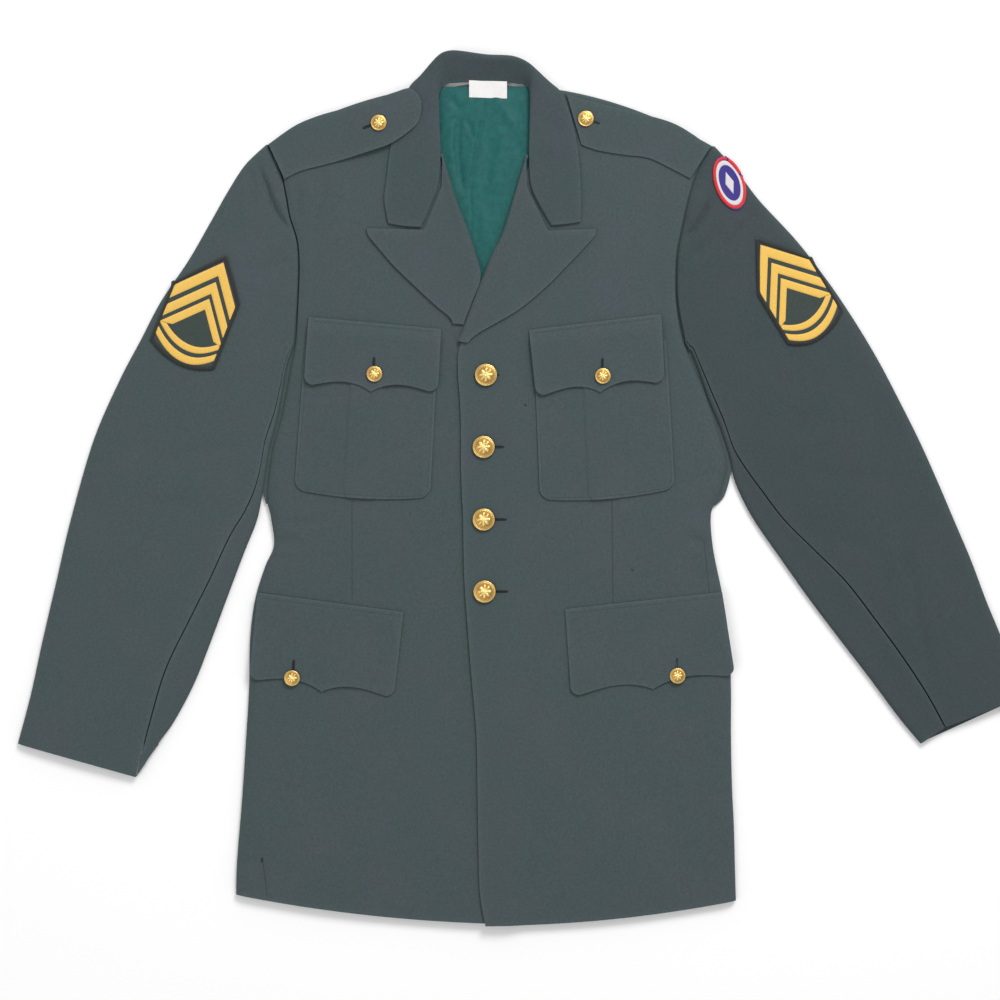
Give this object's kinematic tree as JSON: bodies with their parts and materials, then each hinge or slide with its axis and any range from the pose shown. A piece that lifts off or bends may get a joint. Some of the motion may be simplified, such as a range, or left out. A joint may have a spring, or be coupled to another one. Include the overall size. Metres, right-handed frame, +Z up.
{
  "type": "service dress jacket",
  "caption": "Four-button uniform jacket laid flat on its back, with notch lapels, pleated chest pockets, flap pockets, shoulder loops, rank patches and gilt buttons.",
  "frame": {"origin": "middle of the laid jacket's outline, on the surface that it lies on", "axes": "+X to the wearer's left, along the sleeves' span; +Y towards the collar; +Z up from the surface"},
  "size_m": [1.0078, 0.8745, 0.0201],
  "materials": {
    "wool_cloth": "matte weave",
    "lining_satin": "satin",
    "white_label": "matte",
    "gilt_button": "polished",
    "gold_embroidery": "silky thread",
    "patch_embroidery": "silky thread"
  },
  "bodies": {
    "root": {"back_left": "wool_cloth", "back_right": "wool_cloth", "chest_button_left": "gilt_button", "chest_button_right": "gilt_button", "chest_flap_left": "wool_cloth", "chest_flap_right": "wool_cloth", "chest_pocket_left": "wool_cloth", "chest_pocket_right": "wool_cloth", "collar": "wool_cloth", "front_button_1": "gilt_button", "front_button_2": "gilt_button", "front_button_3": "gilt_button", "front_button_4": "gilt_button", "front_left": "wool_cloth", "front_right": "wool_cloth", "lapel_left": "wool_cloth", "lapel_right": "wool_cloth", "lining_back": "lining_satin", "loop_button_left": "gilt_button", "loop_button_right": "gilt_button", "neck_label": "white_label", "rank_patch_left": "gold_embroidery", "rank_patch_right": "gold_embroidery", "shoulder_loop_left": "wool_cloth", "shoulder_loop_right": "wool_cloth", "shoulder_patch": "patch_embroidery", "skirt_button_left": "gilt_button", "skirt_button_right": "gilt_button", "skirt_flap_left": "wool_cloth", "skirt_flap_right": "wool_cloth", "sleeve_left_top": "wool_cloth", "sleeve_left_under": "wool_cloth", "sleeve_right_top": "wool_cloth", "sleeve_right_under": "wool_cloth"}
  },
  "joints": []
}
